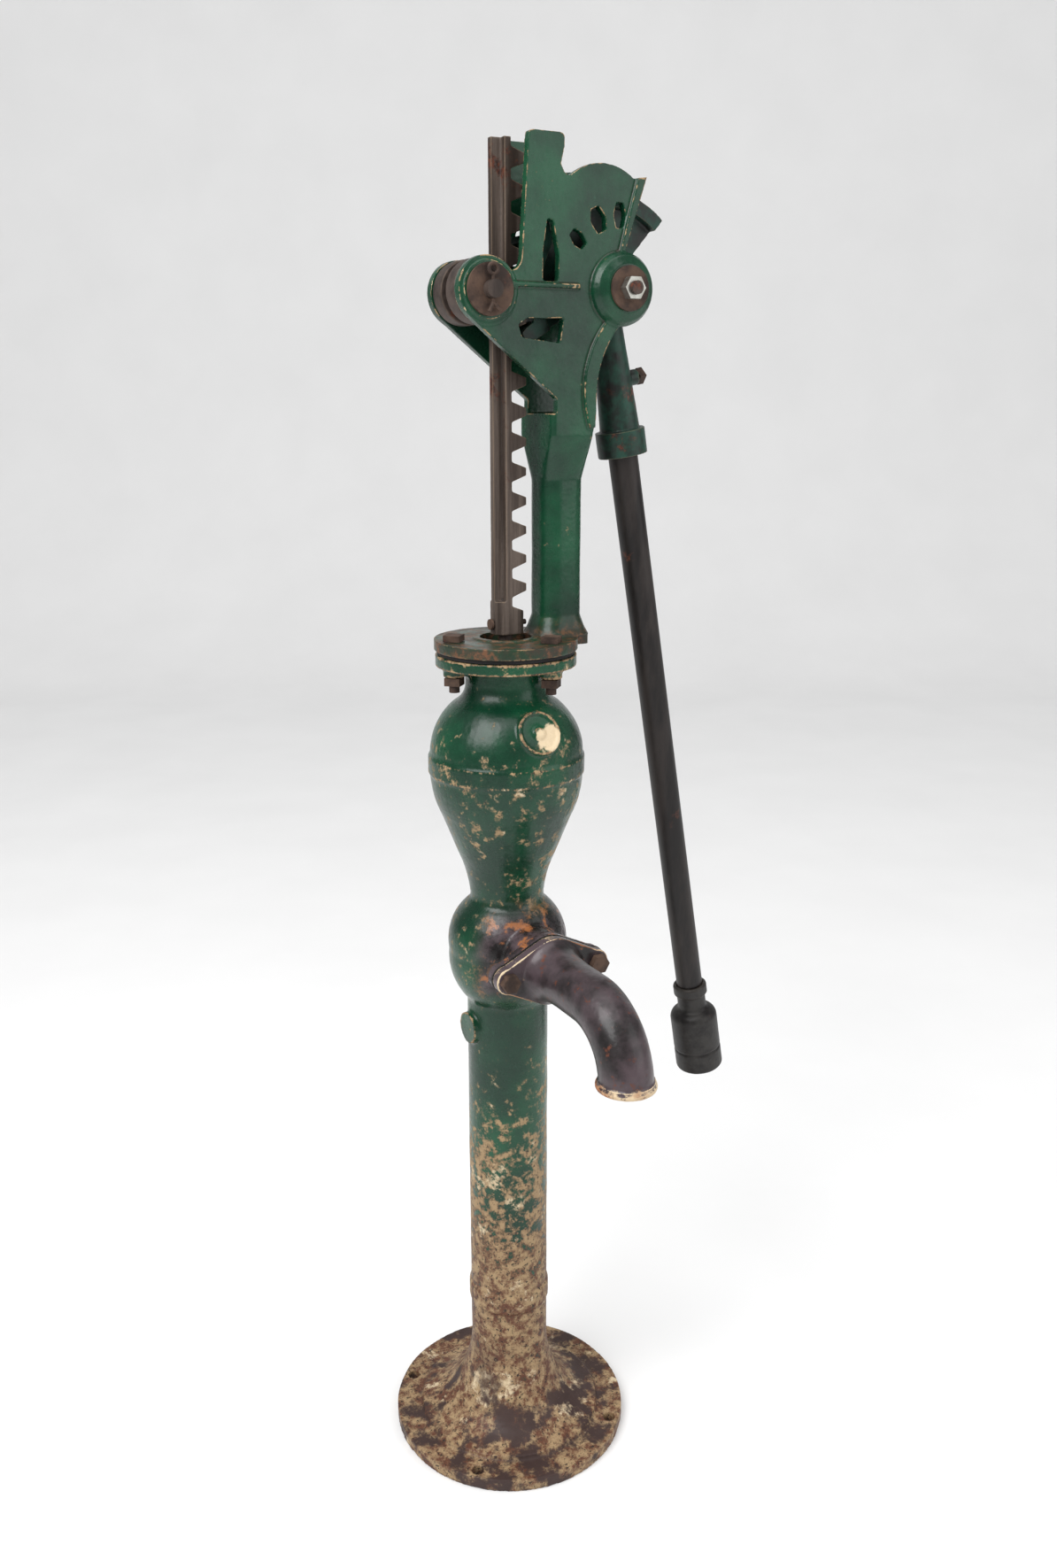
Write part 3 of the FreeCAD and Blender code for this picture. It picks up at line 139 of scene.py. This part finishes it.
class Shader:
    """A small helper that adds linked nodes to one material."""

    def __init__(self, name):
        self.material = bpy.data.materials.new(name)
        self.material.use_nodes = True
        self.tree = self.material.node_tree
        self.surface = self.tree.nodes["Principled BSDF"]
        coords = self.add("ShaderNodeTexCoord")
        self.place = coords.outputs["Object"]
        split = self.add("ShaderNodeSeparateXYZ")
        self.link(self.place, split.inputs[0])
        self.x, self.y, self.z = split.outputs
        self.pointiness = self.add("ShaderNodeNewGeometry").outputs["Pointiness"]

    def add(self, kind):
        """A new shader node of this kind."""
        return self.tree.nodes.new(kind)

    def link(self, source, target):
        """Feed an input from another node's output, or set it to a plain value."""
        if isinstance(source, bpy.types.NodeSocket):
            self.tree.links.new(source, target)
        else:
            target.default_value = source

    def noise(self, scale, detail=4.0, roughness=0.55, stretch=None, offset=0.0):
        """Fractal noise over the object, moved by offset so that each use differs."""
        texture = self.add("ShaderNodeTexNoise")
        texture.inputs["Scale"].default_value = scale
        texture.inputs["Detail"].default_value = detail
        texture.inputs["Roughness"].default_value = roughness
        mapping = self.add("ShaderNodeMapping")
        mapping.inputs["Location"].default_value = (offset, offset * 0.7, offset * 0.3)
        mapping.inputs["Scale"].default_value = stretch or (1, 1, 1)
        self.link(self.place, mapping.inputs[0])
        self.link(mapping.outputs[0], texture.inputs["Vector"])
        return texture.outputs[0]

    def math(self, kind, first, second=0.0):
        """One arithmetic node."""
        item = self.add("ShaderNodeMath")
        item.operation = kind
        self.link(first, item.inputs[0])
        self.link(second, item.inputs[1])
        return item.outputs[0]

    def step(self, source, low, high, out_low=0.0, out_high=1.0):
        """A smooth clamped ramp from low to high."""
        item = self.add("ShaderNodeMapRange")
        item.interpolation_type = "SMOOTHSTEP"
        for index, number in enumerate((source, low, high, out_low, out_high)):
            self.link(number, item.inputs[index])
        return item.outputs[0]

    def mix(self, factor, first, second):
        """The first colour, going over to the second as factor rises."""
        item = self.add("ShaderNodeMix")
        item.data_type = "RGBA"
        self.link(factor, item.inputs[0])
        self.link(first, item.inputs[6])
        self.link(second, item.inputs[7])
        return item.outputs[2]

    def curve(self, source, stops):
        """A value ramp through (position, value) stops."""
        item = self.add("ShaderNodeValToRGB")
        ramp = item.color_ramp
        while len(ramp.elements) < len(stops):
            ramp.elements.new(0.5)
        for element, (position, level) in zip(ramp.elements, stops):
            element.position = position
            element.color = (level, level, level, 1)
        self.link(source, item.inputs[0])
        return item.outputs[0]

    def finish(self, colour, roughness, height, strength=0.4, metallic=0.0, coat=0.0):
        """Join the finished channels to the surface and hand back the material."""
        bump = self.add("ShaderNodeBump")
        bump.inputs["Strength"].default_value = strength
        bump.inputs["Distance"].default_value = BUMP_DEPTH
        self.link(height, bump.inputs["Height"])
        self.link(bump.outputs[0], self.surface.inputs["Normal"])
        self.link(colour, self.surface.inputs["Base Color"])
        self.link(roughness, self.surface.inputs["Roughness"])
        self.link(metallic, self.surface.inputs["Metallic"])
        self.link(coat, self.surface.inputs["Coat Weight"])
        self.surface.inputs["Coat Roughness"].default_value = 0.2
        self.surface.inputs["Specular IOR Level"].default_value = 0.35
        return self.material


GREEN = srgb(20, 74, 48)
GREEN_DEEP = srgb(9, 44, 29)
GREEN_PALE = srgb(62, 112, 88)
TAN = srgb(158, 132, 98)
CREAM = srgb(202, 182, 150)
ORANGE = srgb(146, 92, 56)
# dark rust brown; also the colour of the painted shade in the hollows of painted iron
RUST = srgb(92, 50, 34)
RUST_DARK_AND_SHADE = srgb(44, 28, 24)
BROWN_GREY = srgb(84, 72, 66)
PURPLE_GREY = srgb(78, 66, 70)
NEAR_BLACK = srgb(24, 21, 21)
EDGE_WEAR = 0.13  # how much sooner paint chips off along an edge
CHIP_DEPTH = 0.92  # how fully a chip hides the paint
HEAD_COVER = 0.625  # how much wear the head's paint stands before it chips
PAINT_ROUGHNESS = 0.28
SPOUT_ROUGHNESS = 0.34
BARE_ROUGHNESS = 0.7


def painted_iron(name, cover, chips, seed):
    """Green paint over cast iron: chipped to a tan undercoat and rust, with painted shade darkening
    the hollows.
    """
    s = Shader(name)
    broad = s.noise(9, 5, 0.6, offset=seed)
    fine = s.noise(75, 8, 0.72, offset=seed + 3)
    speckle = s.noise(230, 4, 0.7, offset=seed + 5)
    green = s.mix(s.step(broad, 0.35, 0.7), GREEN_DEEP, GREEN)
    green = s.mix(s.step(speckle, 0.62, 0.8, 0, 0.4), green, GREEN_PALE)
    bare = s.mix(s.step(fine, 0.40, 0.60), RUST, TAN)
    bare = s.mix(s.step(speckle, 0.54, 0.64), bare, RUST_DARK_AND_SHADE)
    bare = s.mix(s.step(s.noise(24, 6, 0.7, offset=seed + 8), 0.58, 0.66), bare, CREAM)
    edge = s.step(s.pointiness, 0.504, 0.530)
    wear = s.math("ADD", s.math("MULTIPLY", fine, 0.75), s.math("MULTIPLY", broad, 0.25))
    wear = s.math("ADD", wear, s.math("MULTIPLY", edge, EDGE_WEAR))
    chipped = s.step(s.math("SUBTRACT", wear, cover(s)), 0.0, chips, 0.0, CHIP_DEPTH)
    # painted shade: hollows found by pointiness are darkened toward dark rust brown in the mix
    # below, as if shade fell in them
    hollow_shade = s.step(s.pointiness, 0.485, 0.455)
    colour = s.mix(chipped, green, bare)
    colour = s.mix(s.math("MULTIPLY", hollow_shade, 0.7), colour, RUST_DARK_AND_SHADE)
    roughness = s.step(chipped, 0, 1, PAINT_ROUGHNESS, BARE_ROUGHNESS)
    roughness = s.math("ADD", roughness, s.math("MULTIPLY", s.math("SUBTRACT", fine, 0.5), 0.35))
    height = s.math("SUBTRACT", s.math("ADD", fine, s.math("MULTIPLY", speckle, 0.4)),
                    s.math("MULTIPLY", chipped, 0.9))
    return s, colour, roughness, height


def head_paint():
    """The head: glossy dark green, rubbed at its ribs, dull and rusty on its flange."""
    s, colour, roughness, height = painted_iron("head_paint", lambda shader: HEAD_COVER, 0.03, 2.0)
    low = s.step(s.z, TOP + 45 * MM, TOP + 8 * MM)
    grime = s.math("MULTIPLY", low, s.step(s.noise(45, 6, 0.65), 0.36, 0.60, 0.25, 0.95))
    rust = s.mix(s.step(s.noise(90, 6, 0.7), 0.48, 0.60), srgb(58, 44, 34), srgb(104, 66, 42))
    colour = s.mix(grime, colour, rust)
    return s.finish(colour, s.math("ADD", roughness, s.math("MULTIPLY", grime, 0.3)), height,
                    coat=0.15)


def medallion_patch(s):
    """The pale bare patch on the right of the vase's round boss."""
    centre = Vector((10 * MM, stand_low.y + BOSS_IN, TOP - BOSS_DROP))
    offset = s.add("ShaderNodeVectorMath")
    offset.operation = "DISTANCE"
    s.link(s.place, offset.inputs[0])
    offset.inputs[1].default_value = centre
    ragged = s.math("MULTIPLY", s.math("SUBTRACT", s.noise(60, 4, 0.6, offset=37), 0.5), 22 * MM)
    return s.step(s.math("ADD", offset.outputs["Value"], ragged), 17 * MM, 14 * MM)


def stand_paint():
    """The stand: green vase, brown-black spout chamber, column fading to tan at its foot."""
    def cover(s):
        share = s.math("DIVIDE", s.z, TOP)
        return s.curve(share, [
            (0.0, 0.34), (0.14, 0.34), (0.24, 0.40), (0.34, 0.46), (0.46, 0.52), (0.56, 0.58),
            (0.66, 0.52), (0.76, 0.53), (0.86, 0.515), (0.93, 0.57), (0.97, 0.56)])
    s, colour, roughness, height = painted_iron("stand_paint", cover, 0.07, 5.0)
    level = s.math("SUBTRACT", s.z, ear_level)
    belly = s.math("MULTIPLY", s.step(level, -60 * MM, -35 * MM), s.step(level, 70 * MM, 35 * MM))
    front = s.math("SUBTRACT", s.math("MULTIPLY", s.x, 0.5), s.y)
    belly = s.math("MULTIPLY", belly, s.step(front, -10 * MM, 25 * MM))
    mottle = s.noise(30, 7, 0.65, offset=12)
    oxide = s.mix(s.step(mottle, 0.4, 0.62), NEAR_BLACK, PURPLE_GREY)
    oxide = s.mix(s.step(s.noise(55, 7, 0.7, offset=15), 0.52, 0.62), oxide, ORANGE)
    colour = s.mix(belly, colour, oxide)
    foot = s.step(s.z, 150 * MM, 40 * MM)
    dark = s.math("MULTIPLY", foot, s.step(s.noise(16, 7, 0.65, offset=21), 0.49, 0.57))
    colour = s.mix(dark, colour, s.mix(mottle, RUST_DARK_AND_SHADE, srgb(70, 52, 48)))
    patch = medallion_patch(s)
    colour = s.mix(patch, colour, CREAM)
    return s.finish(colour, roughness, height, coat=0.12)


def iron(name, base, dark, rust_share, seed, metallic=0.35, roughness=0.55, streaks=(1, 1, 1),
         rubbed=0.0):
    """Bare or thinly painted iron with rust blooms; rubbed is for cast copies, whose even
    mesh shows where its edges are: it rubs those edges pale, and it also puts painted shade,
    near black, in their hollows."""
    s = Shader(name)
    grain = s.noise(45, 7, 0.65, stretch=streaks, offset=seed)
    fine = s.noise(240, 4, 0.7, offset=seed + 2)
    bloom = s.noise(20, 6, 0.7, offset=seed + 4)
    colour = s.mix(s.step(grain, 0.35, 0.65), dark, base)
    rusty = s.step(bloom, 0.62 - rust_share, 0.70 - rust_share)
    colour = s.mix(rusty, colour, s.mix(s.step(fine, 0.4, 0.6), RUST_DARK_AND_SHADE, RUST))
    if rubbed:
        edge = s.step(s.pointiness, 0.51, 0.56)
        colour = s.mix(s.math("MULTIPLY", edge, rubbed), colour, s.mix(0.5, base, TAN))
        # painted shade: hollows found by pointiness are darkened toward near black, as if shade
        # fell in them
        hollow_shade = s.step(s.pointiness, 0.485, 0.45)
        colour = s.mix(s.math("MULTIPLY", hollow_shade, 0.7), colour, NEAR_BLACK)
    rough = s.math("ADD", roughness, s.math("MULTIPLY", s.math("SUBTRACT", grain, 0.5), 0.4))
    height = s.math("ADD", grain, s.math("MULTIPLY", fine, 0.5))
    shine = s.math("MULTIPLY", s.step(rusty, 0, 1, 1, 0.2), metallic)
    return s.finish(colour, rough, height, metallic=shine)


def spout_iron():
    """Brown-black spout with a purple-grey sheen, orange wear and a pale lip."""
    s = Shader("spout_iron")
    mottle = s.noise(14, 6, 0.6, offset=31)
    fine = s.noise(70, 7, 0.7, offset=33)
    colour = s.mix(s.step(mottle, 0.35, 0.65), NEAR_BLACK, PURPLE_GREY)
    colour = s.mix(s.step(fine, 0.58, 0.68), colour, RUST)
    lip = s.step(s.z, spout_low.z + 16 * MM, spout_low.z + 4 * MM)
    plate = s.step(s.y, spout_high.y - 22 * MM, spout_high.y - 10 * MM)
    edge = s.math("ADD", s.step(s.pointiness, 0.508, 0.55), s.math("MULTIPLY", lip, 0.7))
    edge = s.math("ADD", edge, s.math("MULTIPLY", plate, 0.35))
    worn = s.step(s.math("ADD", s.math("MULTIPLY", edge, 0.45), fine), 0.72, 0.86)
    colour = s.mix(worn, colour, s.mix(s.step(mottle, 0.4, 0.6), ORANGE, CREAM))
    rough = s.math("MULTIPLY", s.math("SUBTRACT", fine, 0.5), 0.3)
    rough = s.math("ADD", s.step(worn, 0, 1, SPOUT_ROUGHNESS, BARE_ROUGHNESS), rough)
    height = s.math("SUBTRACT", fine, s.math("MULTIPLY", worn, 0.5))
    return s.finish(colour, rough, height, coat=0.15)


def soft_sheet(name, base, dark, seed):
    """Leather or rubber sheet."""
    s = Shader(name)
    grain = s.noise(180, 6, 0.7, offset=seed)
    tone = s.noise(25, 4, 0.6, offset=seed + 1)
    return s.finish(s.mix(s.step(tone, 0.35, 0.65), dark, base),
                    s.math("ADD", 0.6, s.math("MULTIPLY", grain, 0.2)), grain, 0.5)


# ---------------------------------------------------------------- finishes by node

def dress(piece, material):
    """Give a piece one material."""
    piece.data.materials.clear()
    piece.data.materials.append(material)


def dress_node(node, material):
    """Give a carried CAD node a finish, smooth shading and softened edges."""
    item = nodes[node]
    dress(item, material)
    bevel = item.modifiers.new("worn_edge", "BEVEL")
    bevel.width = 0.6 * MM
    bevel.segments = 2
    bevel.limit_method = "ANGLE"
    bevel.angle_limit = math.radians(35)
    bevel.harden_normals = True


# node: voxel, smoothing passes, sand grain, lumps (sizes in millimetres) and seed
CASTINGS = {
    "pump_stand": (1.8, 3, 0.12, 0.5, 1),
    "head_casting": (1.1, 5, 0.12, 0.35, 2),
    "lever_sector": (1.0, 3, 0.1, 0.25, 3),
    "spout": (1.1, 5, 0.1, 0.4, 4),
    "rack": (0.9, 3, 0.1, 0.1, 5),
    "handle_knob": (1.0, 3, 0.1, 0.2, 6),
    "guide_roller": (0.9, 3, 0.08, 0.15, 7),
}
castings = {node: cast_copy(node, voxel * MM, passes, grain * MM, lump * MM, seed)
            for node, (voxel, passes, grain, lump, seed) in CASTINGS.items()}

bare_iron = iron("bare_iron", BROWN_GREY, srgb(52, 44, 40), 0.06, 41, streaks=(1, 1, 0.15))
roller_iron = iron("roller_iron", BROWN_GREY, srgb(52, 44, 40), 0.06, 42, rubbed=0.3)
rack_iron = iron("rack_iron", srgb(104, 92, 84), srgb(58, 48, 42), 0.04, 43,
                 streaks=(2, 2, 0.08), rubbed=0.5)
rusty_iron = iron("rusty_iron", srgb(88, 68, 56), srgb(50, 38, 33), 0.02, 47, 0.15, 0.7)
black_steel = iron("black_steel", srgb(46, 40, 38), NEAR_BLACK, -0.02, 51, 0.1, 0.42, (1, 1, 0.2))
knob_iron = iron("knob_iron", srgb(48, 46, 44), NEAR_BLACK, 0.0, 52, 0.1, 0.45, rubbed=0.35)
zinc = iron("zinc_steel", srgb(190, 190, 184), srgb(140, 138, 130), -0.1, 53, 0.9, 0.3)
brass = iron("brass", srgb(176, 138, 66), srgb(120, 88, 44), -0.1, 57, 0.95, 0.32)
leather = soft_sheet("leather", srgb(104, 70, 42), srgb(60, 38, 24), 61)
rubber = soft_sheet("rubber", srgb(34, 32, 32), srgb(20, 19, 19), 63)
lever_paint = iron("lever_paint", srgb(30, 66, 54), srgb(30, 32, 30), 0.02, 67, 0.1, 0.4,
                   rubbed=0.45)

for node, material in (
        ("pump_stand", stand_paint()), ("head_casting", head_paint()), ("spout", spout_iron()),
        ("lever_sector", lever_paint), ("rack", rack_iron), ("handle_knob", knob_iron),
        ("guide_roller", roller_iron)):
    dress(castings[node], material)

BY_MATERIAL = (
    (rusty_iron, ("spout_bolts", "spout_nuts", "flange_bolts", "flange_nuts", "roller_washer",
                  "roller_split_pin", "handle_set_screw", "pivot_washers", "rod_pin")),
    (bare_iron, ("roller_pin", "pivot_bolt", "pump_rod")),
    (black_steel, ("handle_pipe",)),
    (zinc, ("pivot_nut",)),
    (brass, ("cylinder_liner", "piston_body", "piston_cage", "piston_ball", "cup_ring", "cup_nut",
             "foot_valve_seat", "foot_valve_poppet", "foot_valve_nut")),
    (leather, ("piston_cup", "foot_valve_leather")),
    (rubber, ("head_gasket", "spout_gasket")))
for material, names in BY_MATERIAL:
    for name in names:
        dress_node(name, material)


# ---------------------------------------------------------------- floor, light and camera

def make_floor():
    """A pale floor that curves up into a backdrop."""
    reach, rise, bend = 6.0, 5.0, 1.5  # metres
    steps = 16
    profile = [Vector((0, -reach, 0)), Vector((0, reach - bend, 0))]
    for index in range(1, steps + 1):
        turn = 0.5 * math.pi * index / steps
        profile.append(Vector((0, reach - bend * (1 - math.sin(turn)),
                               bend * (1 - math.cos(turn)))))
    profile.append(Vector((0, reach, rise)))
    mesh = bmesh.new()
    rows = [[mesh.verts.new(spot + Vector((side * reach, 0, 0))) for side in (-1, 1)]
            for spot in profile]
    for first, second in zip(rows, rows[1:]):
        mesh.faces.new((first[0], first[1], second[1], second[0]))
    data = bpy.data.meshes.new("floor")
    mesh.to_mesh(data)
    floor = bpy.data.objects.new("floor", data)
    floor.rotation_euler.z = -math.radians(AZIMUTH)
    bpy.context.scene.collection.objects.link(floor)
    for polygon in data.polygons:
        polygon.use_smooth = True
    s = Shader("floor_white")
    tone = s.noise(3, 3, 0.5)
    data.materials.append(s.finish(s.mix(tone, srgb(228, 228, 228), srgb(236, 236, 236)), 0.8, tone,
                                   0.02))


def add_area(name, azimuth, elevation, distance, size, power):
    """A soft light aimed at the middle of the pump; metres, degrees and watts."""
    data = bpy.data.lights.new(name, "AREA")
    data.size = size
    data.energy = power
    lamp = bpy.data.objects.new(name, data)
    turn, lift = math.radians(azimuth), math.radians(elevation)
    away = Vector((math.sin(turn) * math.cos(lift), -math.cos(turn) * math.cos(lift),
                   math.sin(lift)))
    lamp.location = AIM + away * distance
    lamp.rotation_euler = away.to_track_quat("Z", "Y").to_euler()
    bpy.context.scene.collection.objects.link(lamp)


AIM = Vector((0, 0, 0.9))  # where the lamps point
WORLD_LIGHT = 0.8  # the even light from all round
WORLD_REFLECTED = 0.25  # the same surroundings as glossy paint shows them, kept dim


def make_light():
    """A key lamp on the left, a weak fill, a top lamp and even light from all round."""
    add_area("key", -70, 45, 3.2, 2.2, 90)
    add_area("fill", 40, 20, 3.4, 2.6, 30)
    add_area("top", -20, 80, 3.0, 2.4, 30)
    world = bpy.data.worlds.new("studio")
    bpy.context.scene.world = world
    world.use_nodes = True
    tree = world.node_tree
    background = tree.nodes["Background"]
    ray = tree.nodes.new("ShaderNodeLightPath")
    strength = tree.nodes.new("ShaderNodeMapRange")
    strength.inputs["To Min"].default_value = WORLD_LIGHT
    strength.inputs["To Max"].default_value = WORLD_REFLECTED
    tree.links.new(ray.outputs["Is Glossy Ray"], strength.inputs["Value"])
    tree.links.new(strength.outputs[0], background.inputs["Strength"])
    background.inputs["Color"].default_value = (1, 1, 1, 1)


def make_camera():
    """The camera stands in front of the spout's left, at head height, tipped down."""
    distance, height = 1.488, 1.2936  # metres
    tip, swing, roll = 15.86, 0.13, 0.32  # degrees
    data = bpy.data.cameras.new("camera")
    data.sensor_fit = "AUTO"
    data.sensor_width = 36
    data.lens = 30.43
    data.shift_x = 0.0159
    data.shift_y = -0.0009
    camera = bpy.data.objects.new("camera", data)
    camera.location = (-distance * math.sin(math.radians(AZIMUTH)),
                       -distance * math.cos(math.radians(AZIMUTH)), height)
    look = Matrix.Rotation(math.radians(swing - AZIMUTH), 4, "Z")
    look = look @ Matrix.Rotation(math.radians(90 - tip), 4, "X")
    look = look @ Matrix.Rotation(math.radians(-roll), 4, "Z")
    camera.rotation_euler = look.to_euler()
    bpy.context.scene.collection.objects.link(camera)
    bpy.context.scene.camera = camera


make_floor()
make_light()
make_camera()
bpy.context.scene.view_settings.view_transform = "Standard"
